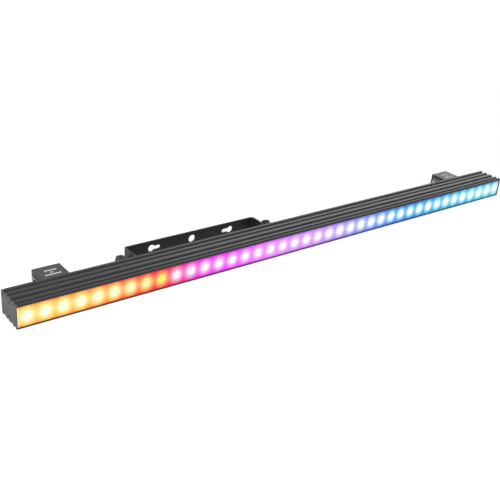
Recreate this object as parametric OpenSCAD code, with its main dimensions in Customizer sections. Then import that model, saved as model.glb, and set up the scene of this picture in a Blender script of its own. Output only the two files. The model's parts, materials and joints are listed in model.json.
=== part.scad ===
// LED strip batten: a ribbed aluminium body with a row of pixels behind a flat lens,
// a connector box near each end of its back, and a U-yoke on a carriage that slides along the rear slot.
// X runs along the batten, the lens faces -Y, and Z is up from the tips of the bottom ribs.

/* [Batten] */
// Overall length over both end caps
batten_l = 1000; // [900:100:1200]
// Depth of the body from the lens face to the back
body_d = 50; // [50:1:54]
// Height of the body over the rib tips
body_h = 36; // [36:1:40]
// Radius of the body's long corners
corner_r = 2; // [1:0.5:3]
// Pixels along the lens, half of them on each board
pixel_count = 40; // [36:4:48]
// Distance of the first and the last pixel from the batten's ends
pixel_end_gap = 14; // [14:0.5:20]

/* [Ribs] */
// Grooves along the top and along the bottom
groove_count = 4; // [2:1:4]
// Distance from groove to groove
groove_pitch = 11; // [10:0.1:11.2]
// Extra width of the middle rib
middle_rib_extra = 1.6; // [0:0.2:1.6]
// How far the grooves stand towards the lens from the middle of the body
groove_shift = 1; // [0:0.1:1]
// Width of a wide groove below its chamfers
groove_w = 6; // [5:0.5:6]
// Width of a narrow groove, every second one from the lens
narrow_groove_w = 4.4; // [4.2:0.2:5]
// Width of a wide groove's floor
groove_floor_w = 3.6; // [3:0.2:4]
// Depth of a groove
groove_depth = 2.8; // [1.5:0.1:3]
// Chamfer on the edges of the rib tips
rib_chamfer = 0.5; // [0.2:0.1:0.8]

/* [Lens and pixels] */
// Height of the lens between the lips
lens_h = 29; // [24:0.2:30]
// Width of one LED package
led_w = 5; // [3:0.5:6]
// Front radius of a reflector cup
cup_front_r = 9; // [8:0.5:9]
// Rear radius of a reflector cup
cup_rear_r = 4.5; // [4:0.5:6]

/* [Ends] */
// Thickness of an end cap
cap_t = 2.5; // [2:0.5:4]
// Thickness of the gasket under an end cap
gasket_t = 0.8; // [0.5:0.1:1.5]

/* [Connector boxes] */
// Distance of a box's middle from the batten's end
box_end_gap = 79.5; // [70:0.5:120]
// Width of a box along the batten
box_w = 42; // [38:1:50]
// Depth of a box behind the body
box_d = 39.7; // [39.5:0.1:46]
// Height of a box
box_h = 21.4; // [18.8:0.2:22]
// How far a box's middle stands above the body's middle
box_rise = 2; // [0:0.5:2]
// Thickness of a box's walls
box_t = 1.8; // [1.2:0.1:2]

/* [Yoke] */
// Middle of the yoke along the batten
yoke_x = -175.4; // [-240:0.2:240]
// Outer width of the yoke over its legs
yoke_w = 243; // [200:1:280]
// Height of the yoke's strip
yoke_h = 24.6; // [22:0.2:26]
// Thickness of the yoke's strip
yoke_t = 2.5; // [2:0.5:3]
// Distance of the yoke's back face from the body's back
yoke_reach = 42.3; // [41:0.1:50]
// Distance of the pivot axis from the body's back
pivot_reach = 22.5; // [22:0.5:23]
// Distance between the keyholes' round ends
keyhole_spacing = 148; // [120:0.2:170]
// Radius of a keyhole's round end
keyhole_r = 5.75; // [5:0.25:7]
// Width of a keyhole's slot
keyhole_slot_w = 6.5; // [5:0.5:7]
// Distance from the middle of the round end to the slot's end
keyhole_slot_l = 16; // [13:0.5:20]
// Radius of the clamp bolt's hole in the yoke's middle
clamp_hole_r = 6.25; // [5:0.25:6.5]

/* [Knobs] */
// Radius of a knob's head
knob_r = 10.5; // [9:0.5:11]
// Length of a knob's head
knob_l = 9; // [8:0.5:14]
// Flutes round a knob's head
knob_flutes = 8; // [6:1:9]

/* [Hidden] */
$fn = 48;
// How far a cutting shape runs past the face that it opens
cut = 1;
// Room between a round piece and the hole that it fills
fit_gap = 0.05;
// How far a countersunk head lies below its face
head_sink = 0.1;
// How far a raised shape runs into the piece that it stands on
root = 0.2;
// How far a screw stops short of, or runs past, its nut
screw_tail = 0.5;

// Body section, in Y and in height about the middle of the body
mid_z = body_h / 2;
front_y = -body_d / 2;
back_y = body_d / 2;
housing_l = batten_l - 2 * (cap_t + gasket_t);
lip_t = 1.2;
lip_back_y = front_y + lip_t;
seal_t = 0.6;
seal_w = 1;
lens_gap = 0.2;
window_h = lens_h + 2 * lens_gap;
flange_t = 2.2;
flange_step = 1.3;
flange_gap = 0.3;
flange_front_y = lip_back_y + seal_t;
flange_back_y = flange_front_y + flange_t;
flange_h = lens_h + 2 * flange_step;
slot_h = flange_h + 2 * flange_gap;
slot_back_y = flange_back_y + lens_gap;
// Cap that is left over each end of the lens
lens_end_t = 0.8;
lens_l = batten_l - 2 * (lens_end_t + lens_gap);
shell_t = 4.4;
cavity_h = body_h - 2 * shell_t;
light_chamber_d = 20.8;
rear_chamber_d = 17.2;
web_t = 2;
web_front_y = front_y + light_chamber_d;
web_back_y = web_front_y + web_t;
chamber_back_y = web_back_y + rear_chamber_d;

// Screw ribs and screw ports that run along the body
rib_d = 6.5;
rib_back_y = web_back_y + rib_d;
port_r = 1.5;
rib_port_in = 2.5;
rib_port_y = web_back_y + rib_port_in;
rib_port_z = cavity_h / 2 - rib_d / 2;
corner_port_in = 5;
corner_port_drop = 2;
corner_port_y = back_y - corner_port_in;
corner_port_z = cavity_h / 2 - corner_port_drop;
port_places = [
    for (s = [-1, 1]) [rib_port_y, s * rib_port_z],
    for (s = [-1, 1]) [corner_port_y, s * corner_port_z]
];

// Slot along the back
t_neck_w = 8.2;
t_neck_d = 3;
t_cavity_w = 14;
t_cavity_d = 5;
t_neck_y = back_y - t_neck_d;
t_floor_y = t_neck_y - t_cavity_d;

// Pixels, boards and reflectors
pixel_pitch = (batten_l - 2 * pixel_end_gap) / (pixel_count - 1);
half_count = pixel_count / 2;
board_t = 1.6;
board_end_gap = 4;
board_middle_gap = 0.5;
board_side_gap = 1.1;
board_h = cavity_h - 2 * board_side_gap;
led_board_front_y = web_front_y - board_t;
led_t = 1.6;
led_dish_share = 0.8;
led_dish_r = led_w / 2 * led_dish_share;
led_dish_d = 0.5;
side_gap = 0.4;
tray_h = cavity_h - 2 * side_gap;
tray_foot_r = 2;
tray_foot_l = 2.4;
tray_front_y = flange_back_y;
tray_back_y = led_board_front_y - tray_foot_l;
board_screw_in = 2;
board_screw_z = board_h / 2 - board_screw_in;
board_screw_steps = [2, 10, 18];
tray_foot_steps = [4, 12, 16];

// Driver boards in the rear chamber
driver_l = 300;
driver_x = 200;
driver_h = cavity_h - 2 * side_gap;
driver_back_y = rib_back_y + board_t;
driver_screw_in = 2.4;
driver_screw_z = cavity_h / 2 - driver_screw_in;
driver_screw_out = 140;
driver_screw_d = 2.2;
driver_head_r = 2.2;
link_steps = [-100, 100];
link_l = 12;
link_h = 5;
link_gap = 0.5;
chip_steps = [-105, -60, 25, 60, 105];
chip_w = 12;
chip_t = 1.8;
capacitor_steps = [-30, -18, -6];
capacitor_r = 4;
capacitor_l = 6;
header_l = 10;
header_w = 10;
header_d = 6.4;

// Screws
m3_shank_r = 1.4;
m3_hole_r = 1.7;
m3_head_r = 3;
m3_head_t = 1.6;
m3_drive_r = 1.1;
m3_drive_d = 0.9;
m4_shank_r = 1.9;
m4_hole_r = 2.2;
m4_thread_r = 2;
m4_head_r = 3.5;
m4_head_t = 2.4;
m4_drive_r = 1.5;
m6_shank_r = 2.95;
m6_thread_r = 3;
m6_hole_r = 3.25;
cap_screw_l = 12;
gasket_inset = 0.6;

// Connector boxes
box_x = batten_l / 2 - box_end_gap;
box_back_y = back_y + box_d;
box_cover_t = box_t;
box_edge_r = 1;
box_floor_t = 2;
cover_block_l = 6;
cover_block_d = 8;
cover_hole_d = 7.4;
cover_screw_out = box_w / 2 - box_t - cover_block_l / 2;
cover_screw_l = 7;
mount_screw_out = 13;
nut_bar_l = 38;
nut_bar_t = 4;
nut_bar_w = 12.8;
nut_bar_y = t_neck_y - nut_bar_t;
m4_reach = box_floor_t + t_neck_d + nut_bar_t - screw_tail;
lead_hole_r = 4.5;

// Sockets: depth counts from the outer face of the box wall, into the box
socket_reach = 24;
socket_y = back_y + socket_reach;
flange_plate_w = 22;
flange_plate_h = 13.6;
flange_plate_t = 1.4;
flange_plate_r = 2;
flange_screw_out = 8;
flange_screw_r = 1.2;
flange_screw_head_r = 2.1;
flange_screw_head_t = 1.2;
flange_screw_drive_r = 0.9;
barrel_r = 5.5;
barrel_bore_r = 4.5;
barrel_depth = 12;
pin_count = 4;
pin_circle_r = 2.6;
pin_r = 0.5;
pin_front_depth = 1.6;
pin_back_depth = 13.6;
input_insert_depth = 7.6;
output_insert_depth = 3.6;
contact_r = 0.7;
contact_bore_r = 0.5;
contact_bore_d = 6;
contact_inset = 0.3;

// Leads from the sockets into the body
lead_r = 2.2;
lead_gap = 0.2;
lead_start_depth = pin_back_depth + lead_gap;
lead_bend_r = box_w / 2 - lead_start_depth;
lead_inner_bend_r = 5.5;
lead_inner_y = t_floor_y - lead_inner_bend_r;
lead_end_x = driver_x + driver_l / 2;

// Carriage, yoke and knobs
pivot_y = back_y + pivot_reach;
yoke_back_y = back_y + yoke_reach;
yoke_bend_r = 5;
slide_gap = 0.4;
bracket_t = 3;
bracket_h = 23;
bracket_bend_r = 4;
ear_r = 9;
washer_t = 0.8;
washer_gap = 0.2;
ear_outer = yoke_w / 2 - yoke_t - washer_gap - washer_t;
bracket_front_y = back_y + slide_gap;
bracket_back_y = bracket_front_y + bracket_t;
friction_washer_r = 8;
pivot_nut_flat = 10;
pivot_nut_t = 5;
t_nut_out = 75;
t_nut_l = 30;
t_nut_w = 13;
t_nut_t = 4.4;
t_nut_neck_w = 7.6;
t_nut_gap = 0.3;
t_nut_front_y = t_floor_y + t_nut_gap;
t_nut_neck_d = 2.4;
carriage_head_r = 6;
carriage_head_t = 3.4;
hex_drive_r = 2.3;
knob_washer_r = 7;
knob_washer_t = 1;
knob_boss_r = 5.5;
knob_boss_l = 9.2;
knob_start = yoke_w / 2 + washer_gap + knob_washer_t;
knob_head_start = knob_start + knob_boss_l;
knob_end = knob_head_start + knob_l;
knob_edge_r = 1.5;
flute_r = 2.6;
flute_rise = 0.4;
flute_out = knob_r + flute_rise;
flute_pitch = 360 / knob_flutes;
stud_cover = 4;
stud_end = knob_end - stud_cover;
knob_dish_share = 0.62;
knob_dish_r = knob_r * knob_dish_share;
knob_dish_d = 0.6;

function pixel_x(i) = (i - (pixel_count - 1) / 2) * pixel_pitch;

// Left pieces are drawn as they are, right pieces as their mirror image about the middle
module on_side(side) {
    if (side < 0) children();
    else mirror([1, 0, 0]) children();
}

module both_sides() {
    for (side = [-1, 1]) on_side(side) children();
}

// A section drawn in Y and height, carried along X about the middle of the body
module along_x(l) {
    translate([0, 0, mid_z]) rotate([90, 0, 90]) linear_extrude(l, center = true) children();
}

// A round bar along +X from the given point
module bar_x(x, y, z, r, l) {
    translate([x, y, z]) rotate([0, 90, 0]) cylinder(h = l, r = r);
}

// A round bar along +Y from the given point
module bar_y(x, y, z, r, l) {
    translate([x, y, z]) rotate([-90, 0, 0]) cylinder(h = l, r = r);
}

// A box from its low corner in Y, centred on x and on z
module block(x, y, z, l, d, h) {
    translate([x - l / 2, y, z - h / 2]) cube([l, d, h]);
}

module band(y0, y1, h) {
    translate([y0, -h / 2]) square([y1 - y0, h]);
}

module rounded_plate(w, h, r) {
    square([w - 2 * r, h], center = true);
    square([w, h - 2 * r], center = true);
    for (x = [-1, 1], y = [-1, 1])
        translate([x * (w / 2 - r), y * (h / 2 - r)]) circle(r);
}

function groove_y(step) = step * groove_pitch + sign(step) * middle_rib_extra / 2 - groove_shift;

module groove(w) {
    floor_w = w - groove_w + groove_floor_w;
    polygon([
        [-w / 2 - rib_chamfer, cut],
        [-w / 2 - rib_chamfer, 0],
        [-w / 2, -rib_chamfer],
        [-floor_w / 2, -groove_depth],
        [floor_w / 2, -groove_depth],
        [w / 2, -rib_chamfer],
        [w / 2 + rib_chamfer, 0],
        [w / 2 + rib_chamfer, cut]
    ]);
}

module body_outline() {
    difference() {
        rounded_plate(body_d, body_h, corner_r);
        for (side = [0, 1], i = [0 : groove_count - 1])
            mirror([0, side])
                translate([groove_y(i - (groove_count - 1) / 2), body_h / 2])
                    groove(i % 2 == 0 ? narrow_groove_w : groove_w);
    }
}

module rear_chamber() {
    difference() {
        band(web_back_y, chamber_back_y, cavity_h);
        for (side = [-1, 1])
            translate([web_back_y - cut, side * (cavity_h / 2 - rib_d / 2 + cut / 2) - (rib_d + cut) / 2])
                square([rib_d + cut, rib_d + cut]);
    }
}

// The lens's way in behind the lips, open at the front
module lens_slot() {
    band(front_y - cut, lip_back_y + cut / 2, window_h);
    band(lip_back_y, slot_back_y, slot_h);
}

module body_hollows() {
    lens_slot();
    band(slot_back_y - cut / 2, web_front_y, cavity_h);
    rear_chamber();
    band(t_floor_y, t_neck_y, t_cavity_w);
    band(t_neck_y - cut / 2, back_y + cut, t_neck_w);
    for (p = port_places) translate(p) circle(port_r);
}

// The aluminium extrusion, drilled for board screws, board links and the two leads
module housing() {
    color([0.13, 0.13, 0.14])
    difference() {
        along_x(housing_l) body_outline();
        along_x(housing_l + 2 * cut) body_hollows();
        both_sides() {
            for (step = board_screw_steps, s = [-1, 1])
                bar_y(-step * pixel_pitch, web_front_y - cut, mid_z + s * board_screw_z,
                      port_r, web_t + 2 * cut);
            for (step = link_steps)
                block(-driver_x + step, web_front_y - cut, mid_z,
                      link_l + 2 * link_gap, web_t + 2 * cut, link_h + 2 * link_gap);
            for (out = [-1, 1], s = [-1, 1])
                bar_y(-driver_x + out * driver_screw_out, rib_back_y - driver_screw_d,
                      mid_z + s * driver_screw_z, m3_shank_r + fit_gap, driver_screw_d + cut);
            bar_y(-box_x, chamber_back_y - cut, mid_z, lead_hole_r, t_floor_y - chamber_back_y + 2 * cut);
        }
    }
}

// Stepped lens strip: its flange is held behind the lips, and its ends lie in pockets of the end caps
module front_lens() {
    color([0.93, 0.93, 0.95])
    along_x(lens_l) {
        band(front_y, flange_back_y, lens_h);
        band(flange_front_y, flange_back_y, flange_h);
    }
}

module lens_seals() {
    color([0.2, 0.2, 0.2])
    along_x(housing_l)
        for (side = [-1, 1])
            translate([lip_back_y, side * (flange_h / 2 - seal_w / 2) - seal_w / 2])
                square([seal_t, seal_w]);
}

// White tray with one cone for each pixel of its half, standing on short feet
module reflector(side) {
    l = batten_l / 2 - board_end_gap - board_middle_gap;
    depth = tray_back_y - tray_front_y;
    slope = (cup_front_r - cup_rear_r) / depth;
    color([0.95, 0.95, 0.93])
    on_side(side) {
        difference() {
            block(-board_middle_gap - l / 2, tray_front_y, mid_z, l, depth, tray_h);
            for (i = [0 : half_count - 1])
                translate([pixel_x(i), tray_front_y - cut, mid_z])
                    rotate([-90, 0, 0])
                        cylinder(h = depth + 2 * cut,
                                 r1 = cup_front_r + slope * cut, r2 = cup_rear_r - slope * cut);
        }
        for (step = tray_foot_steps, s = [-1, 1])
            bar_y(-step * pixel_pitch, tray_back_y, mid_z + s * board_screw_z,
                  tray_foot_r, tray_foot_l);
    }
}

module left_reflector() { reflector(-1); }
module right_reflector() { reflector(1); }

module led_board(side) {
    l = batten_l / 2 - board_end_gap - board_middle_gap;
    color([0.9, 0.9, 0.88])
    on_side(side)
    difference() {
        block(-board_middle_gap - l / 2, led_board_front_y, mid_z, l, board_t, board_h);
        for (step = board_screw_steps, s = [-1, 1])
            bar_y(-step * pixel_pitch, led_board_front_y - cut, mid_z + s * board_screw_z,
                  m3_hole_r, board_t + 2 * cut);
    }
}

module left_led_board() { led_board(-1); }
module right_led_board() { led_board(1); }

// Square packages with a shallow round dish over the dies
module pixel_leds(side) {
    color([0.98, 0.95, 0.8])
    on_side(side)
    for (i = [0 : half_count - 1])
        difference() {
            block(pixel_x(i), led_board_front_y - led_t, mid_z, led_w, led_t, led_w);
            bar_y(pixel_x(i), led_board_front_y - led_t - cut, mid_z, led_dish_r, led_dish_d + cut);
        }
}

module left_pixel_leds() { pixel_leds(-1); }
module right_pixel_leds() { pixel_leds(1); }

module led_board_screws() {
    color([0.7, 0.7, 0.72])
    both_sides()
    for (step = board_screw_steps, s = [-1, 1]) {
        bar_y(-step * pixel_pitch, led_board_front_y - m3_head_t, mid_z + s * board_screw_z,
              m3_head_r, m3_head_t);
        bar_y(-step * pixel_pitch, led_board_front_y - m3_head_t / 2, mid_z + s * board_screw_z,
              m3_shank_r, board_t + web_t + m3_head_t / 2);
    }
}

// Pin headers that pass through the web and join each LED board to its driver
module board_links() {
    color([0.1, 0.1, 0.1])
    both_sides()
    for (step = link_steps)
        block(-driver_x + step, web_front_y, mid_z, link_l, rib_back_y - web_front_y, link_h);
}

module driver_board(side) {
    color([0.05, 0.3, 0.15])
    on_side(side)
    difference() {
        block(-driver_x, rib_back_y, mid_z, driver_l, board_t, driver_h);
        for (out = [-1, 1], s = [-1, 1])
            bar_y(-driver_x + out * driver_screw_out, rib_back_y - cut, mid_z + s * driver_screw_z,
                  m3_hole_r, board_t + 2 * cut);
    }
}

module left_driver_board() { driver_board(-1); }
module right_driver_board() { driver_board(1); }

module driver_board_screws() {
    color([0.7, 0.7, 0.72])
    both_sides()
    for (out = [-1, 1], s = [-1, 1]) {
        bar_y(-driver_x + out * driver_screw_out, driver_back_y, mid_z + s * driver_screw_z,
              driver_head_r, m3_head_t);
        bar_y(-driver_x + out * driver_screw_out, driver_back_y - board_t - driver_screw_d + fit_gap,
              mid_z + s * driver_screw_z, m3_shank_r, board_t + driver_screw_d + m3_head_t / 2);
    }
}

module driver_chips() {
    color([0.06, 0.06, 0.06])
    both_sides()
    for (step = chip_steps) block(-driver_x + step, driver_back_y, mid_z, chip_w, chip_t, chip_w);
}

module driver_capacitors() {
    color([0.1, 0.12, 0.25])
    both_sides()
    for (step = capacitor_steps) bar_y(-driver_x + step, driver_back_y, mid_z, capacitor_r, capacitor_l);
}

// Plug-in headers where the two leads meet the driver boards
module lead_headers() {
    color([0.92, 0.9, 0.82])
    both_sides()
    block(-lead_end_x + header_l / 2, driver_back_y, mid_z, header_l, header_d, header_w);
}

// Countersink that opens at z = 0 and narrows at 45 degrees into +Z
module countersink() {
    top_r = m3_head_r + 2 * head_sink;
    translate([0, 0, -cut])
        cylinder(h = top_r - m3_hole_r + cut, r1 = top_r + cut, r2 = m3_hole_r);
}

// Countersunk screw with a hexagon socket: its head starts just below z = 0 and its shank runs along +Z
module countersunk_screw(l) {
    translate([0, 0, head_sink])
    difference() {
        union() {
            cylinder(h = m3_head_r - m3_shank_r, r1 = m3_head_r, r2 = m3_shank_r);
            cylinder(h = l, r = m3_shank_r);
        }
        translate([0, 0, -cut]) cylinder(h = cut + m3_drive_d, r = m3_drive_r, $fn = 6);
    }
}

// Plate with the body's own ribbed outline, countersunk for four screws, with a pocket for the lens's end
module end_cap(side) {
    pocket_l = cap_t - lens_end_t + cut;
    color([0.16, 0.16, 0.17])
    on_side(side)
    translate([-batten_l / 2, 0, 0])
    difference() {
        translate([cap_t / 2, 0, 0]) along_x(cap_t) body_outline();
        translate([lens_end_t + pocket_l / 2, 0, 0]) along_x(pocket_l) lens_slot();
        for (p = port_places) {
            bar_x(-cut, p[0], mid_z + p[1], m3_hole_r, cap_t + 2 * cut);
            translate([0, p[0], mid_z + p[1]]) rotate([0, 90, 0]) countersink();
        }
    }
}

module left_end_cap() { end_cap(-1); }
module right_end_cap() { end_cap(1); }

module cap_gasket(side) {
    color([0.25, 0.25, 0.25])
    on_side(side)
    translate([-batten_l / 2 + cap_t, 0, 0])
    difference() {
        translate([gasket_t / 2, 0, 0]) along_x(gasket_t)
            rounded_plate(body_d - 2 * gasket_inset, body_h - 2 * groove_depth - gasket_inset, corner_r);
        along_x(2 * (gasket_t + cut)) lens_slot();
        for (p = port_places) bar_x(-cut, p[0], mid_z + p[1], m3_hole_r, gasket_t + 2 * cut);
    }
}

module left_cap_gasket() { cap_gasket(-1); }
module right_cap_gasket() { cap_gasket(1); }

module cap_screws() {
    color([0.12, 0.12, 0.12])
    both_sides()
    for (p = port_places)
        translate([-batten_l / 2, p[0], mid_z + p[1]]) rotate([0, 90, 0]) countersunk_screw(cap_screw_l);
}

// Box behind the body, the same at both ends: its socket is in its left wall, its back is open
// for the cover, and it has blocks for the cover's screws
module connector_box(side) {
    inner_h = box_h - 2 * box_t;
    body_depth = box_d - box_cover_t;
    color([0.14, 0.14, 0.15])
    translate([side * box_x, 0, mid_z])
    difference() {
        union() {
            difference() {
                translate([0, back_y + body_depth, box_rise]) rotate([90, 0, 0])
                    linear_extrude(body_depth) rounded_plate(box_w, box_h, box_edge_r);
                block(0, back_y + box_floor_t, box_rise, box_w - 2 * box_t, body_depth, inner_h);
            }
            for (out = [-1, 1])
                block(out * cover_screw_out, back_y + body_depth - cover_block_d, box_rise,
                      cover_block_l + root, cover_block_d, inner_h + root);
        }
        bar_y(0, back_y - cut, 0, lead_hole_r, box_floor_t + 2 * cut);
        for (out = [-1, 1]) {
            bar_y(out * mount_screw_out, back_y - cut, 0, m4_hole_r, box_floor_t + 2 * cut);
            bar_y(out * cover_screw_out, back_y + body_depth - cover_hole_d, box_rise,
                  m3_shank_r + fit_gap, cover_hole_d + cut);
            bar_x(-box_w / 2 - cut, socket_y + out * flange_screw_out, 0,
                  flange_screw_r + fit_gap, box_t + 2 * cut);
        }
        bar_x(-box_w / 2 - cut, socket_y, 0, barrel_r + fit_gap, box_t + 2 * cut);
    }
}

module left_connector_box() { connector_box(-1); }
module right_connector_box() { connector_box(1); }

module box_cover(side) {
    color([0.14, 0.14, 0.15])
    on_side(side)
    translate([-box_x, box_back_y, mid_z + box_rise])
    difference() {
        rotate([90, 0, 0]) linear_extrude(box_cover_t) rounded_plate(box_w, box_h, box_edge_r);
        for (out = [-1, 1]) {
            bar_y(out * cover_screw_out, -box_cover_t - cut, 0, m3_hole_r, box_cover_t + 2 * cut);
            translate([out * cover_screw_out, 0, 0]) rotate([90, 0, 0]) countersink();
        }
    }
}

module left_box_cover() { box_cover(-1); }
module right_box_cover() { box_cover(1); }

module box_cover_screws() {
    color([0.12, 0.12, 0.12])
    both_sides()
    for (out = [-1, 1])
        translate([-box_x + out * cover_screw_out, box_back_y, mid_z + box_rise]) rotate([90, 0, 0])
            countersunk_screw(cover_screw_l);
}

// Tapped bars in the rear slot that the boxes are screwed to
module box_nut_bars() {
    color([0.65, 0.65, 0.67])
    both_sides()
    difference() {
        block(-box_x, nut_bar_y, mid_z, nut_bar_l, nut_bar_t, nut_bar_w);
        bar_y(-box_x, nut_bar_y - cut, mid_z, lead_hole_r, nut_bar_t + 2 * cut);
        for (out = [-1, 1])
            bar_y(-box_x + out * mount_screw_out, nut_bar_y - cut, mid_z, m4_thread_r, nut_bar_t + 2 * cut);
    }
}

module box_mount_screws() {
    color([0.7, 0.7, 0.72])
    both_sides()
    for (out = [-1, 1])
        translate([-box_x + out * mount_screw_out, back_y + box_floor_t, mid_z])
            difference() {
                union() {
                    rotate([-90, 0, 0]) cylinder(h = m4_head_t, r = m4_head_r);
                    bar_y(0, -m4_reach, 0, m4_shank_r, m4_reach + m4_head_t / 4);
                }
                translate([0, m4_head_t / 2, 0]) rotate([-90, 0, 0])
                    cylinder(h = m4_head_t, r = m4_drive_r, $fn = 6);
            }
}

// Places a socket piece on the left wall of its box, with +Z running into the box
module socket_place(side) {
    translate([side * box_x - box_w / 2, socket_y, mid_z]) rotate([0, 90, 0]) children();
}

// Metal shell: a flange on the wall and a barrel through it
module socket_shell(side) {
    color([0.75, 0.74, 0.72])
    socket_place(side)
    difference() {
        union() {
            translate([0, 0, -flange_plate_t])
                linear_extrude(flange_plate_t) rounded_plate(flange_plate_h, flange_plate_w, flange_plate_r);
            cylinder(h = barrel_depth, r = barrel_r);
        }
        translate([0, 0, -flange_plate_t - cut])
            cylinder(h = flange_plate_t + barrel_depth + 2 * cut, r = barrel_bore_r);
        for (out = [-1, 1])
            translate([0, out * flange_screw_out, -flange_plate_t - cut])
                cylinder(h = flange_plate_t + 2 * cut, r = flange_screw_r + fit_gap);
    }
}

module input_socket_shell() { socket_shell(-1); }
module output_socket_shell() { socket_shell(1); }

module socket_insert(side, depth, hole_r) {
    color([0.08, 0.08, 0.08])
    socket_place(side)
    difference() {
        translate([0, 0, depth]) cylinder(h = barrel_depth - depth, r = barrel_bore_r - fit_gap);
        for (i = [0 : pin_count - 1])
            rotate(i * 360 / pin_count) translate([pin_circle_r, 0, depth - cut])
                cylinder(h = barrel_depth - depth + 2 * cut, r = hole_r + fit_gap);
    }
}

module input_socket_insert() { socket_insert(-1, input_insert_depth, pin_r); }
module output_socket_insert() { socket_insert(1, output_insert_depth, contact_r); }

module input_socket_pins() {
    color([0.85, 0.7, 0.3])
    socket_place(-1)
    for (i = [0 : pin_count - 1])
        rotate(i * 360 / pin_count) translate([pin_circle_r, 0, pin_front_depth])
            cylinder(h = pin_back_depth - pin_front_depth, r = pin_r);
}

module output_socket_contacts() {
    color([0.85, 0.7, 0.3])
    socket_place(1)
    for (i = [0 : pin_count - 1])
        rotate(i * 360 / pin_count) translate([pin_circle_r, 0, output_insert_depth + contact_inset])
            difference() {
                cylinder(h = pin_back_depth - output_insert_depth - contact_inset, r = contact_r);
                translate([0, 0, -cut]) cylinder(h = contact_bore_d + cut, r = contact_bore_r);
            }
}

module socket_screws() {
    color([0.7, 0.7, 0.72])
    for (side = [-1, 1])
        socket_place(side)
        for (out = [-1, 1])
            translate([0, out * flange_screw_out, -flange_plate_t])
                difference() {
                    union() {
                        translate([0, 0, -flange_screw_head_t])
                            cylinder(h = flange_screw_head_t, r = flange_screw_head_r);
                        translate([0, 0, -flange_screw_head_t / 2])
                            cylinder(h = flange_screw_head_t / 2 + flange_plate_t + box_t,
                                     r = flange_screw_r);
                    }
                    translate([0, 0, -flange_screw_head_t - cut])
                        cylinder(h = cut + flange_screw_head_t / 2, r = flange_screw_drive_r, $fn = 6);
                }
}

// Quarter bend of a lead in the X-Y plane about the given centre, starting at the given turn
module lead_bend(x, y, r, turn) {
    translate([x, y, mid_z]) rotate(turn)
        rotate_extrude(angle = 90) translate([r, 0]) circle(lead_r);
}

// Jacketed lead from the socket's solder cups, through the rear slot, to its header
module lead(side) {
    color([0.09, 0.09, 0.09]) {
        translate([side * box_x, 0, 0]) {
            lead_bend(-lead_bend_r, socket_y - lead_bend_r, lead_bend_r, 0);
            bar_y(0, t_floor_y, mid_z, lead_r, socket_y - lead_bend_r - t_floor_y);
        }
        on_side(side) {
            lead_bend(-box_x + lead_inner_bend_r, t_floor_y, lead_inner_bend_r, 180);
            bar_x(-box_x + lead_inner_bend_r, lead_inner_y, mid_z, lead_r,
                  box_x - lead_inner_bend_r - lead_end_x);
        }
    }
}

module input_lead() { lead(-1); }
module output_lead() { lead(1); }

// A strip bent into a U about the yoke's middle, open towards the body
module bent_strip(half_w, y0, y1, t, r, h) {
    inner_r = r - t;
    translate([0, 0, mid_z - h / 2])
    linear_extrude(h)
    difference() {
        union() {
            translate([-half_w, y0]) square([2 * half_w, y1 - y0 - r]);
            translate([-half_w + r, y0]) square([2 * (half_w - r), y1 - y0]);
            for (out = [-1, 1]) translate([out * (half_w - r), y1 - r]) circle(r);
        }
        translate([-half_w + t, y0 - cut]) square([2 * (half_w - t), y1 - y0 - r + cut]);
        translate([-half_w + r, y0 - cut]) square([2 * (half_w - r), y1 - y0 - t + cut]);
        for (out = [-1, 1]) translate([out * (half_w - r), y1 - r]) circle(inner_r);
    }
}

// Side outline of a strip whose legs end in a round about the pivot
module pivot_end(l, r, y_far) {
    y_low = min(pivot_y, y_far);
    y_high = max(pivot_y, y_far);
    along_x(l) {
        translate([pivot_y, 0]) circle(r);
        translate([y_low, -body_h]) square([y_high - y_low, 2 * body_h]);
    }
}

// Bracket that slides along the back of the body, with an ear inside each leg of the yoke
module carriage_bracket() {
    full_w = 2 * (ear_outer + cut);
    color([0.1, 0.1, 0.1])
    translate([yoke_x, 0, 0])
    difference() {
        intersection() {
            translate([0, bracket_front_y + pivot_y + ear_r, 2 * mid_z]) rotate([180, 0, 0])
                bent_strip(ear_outer, bracket_front_y, pivot_y + ear_r, bracket_t, bracket_bend_r, bracket_h);
            union() {
                pivot_end(full_w, ear_r, bracket_front_y + bracket_bend_r);
                block(0, bracket_front_y - cut, mid_z, full_w, bracket_bend_r + 2 * cut, bracket_h);
            }
            union() {
                block(0, bracket_front_y - cut, mid_z, full_w, bracket_bend_r + cut, bracket_h);
                block(0, bracket_front_y, mid_z, full_w, pivot_reach + ear_r, 2 * ear_r);
            }
        }
        bar_x(-ear_outer - cut, pivot_y, mid_z, m6_hole_r, 2 * ear_outer + 2 * cut);
        for (out = [-1, 1])
            bar_y(out * t_nut_out, bracket_front_y - cut, mid_z, m6_hole_r, bracket_t + 2 * cut);
    }
}

// Nuts in the rear slot that the carriage screws pull against
module carriage_t_nuts() {
    color([0.65, 0.65, 0.67])
    translate([yoke_x, 0, 0])
    for (out = [-1, 1])
        difference() {
            union() {
                block(out * t_nut_out, t_nut_front_y, mid_z, t_nut_l, t_nut_t, t_nut_w);
                block(out * t_nut_out, t_nut_front_y, mid_z, t_nut_l, t_nut_t + t_nut_neck_d, t_nut_neck_w);
            }
            bar_y(out * t_nut_out, t_nut_front_y - cut, mid_z, m6_thread_r, t_cavity_d + t_neck_d + 2 * cut);
        }
}

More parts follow.
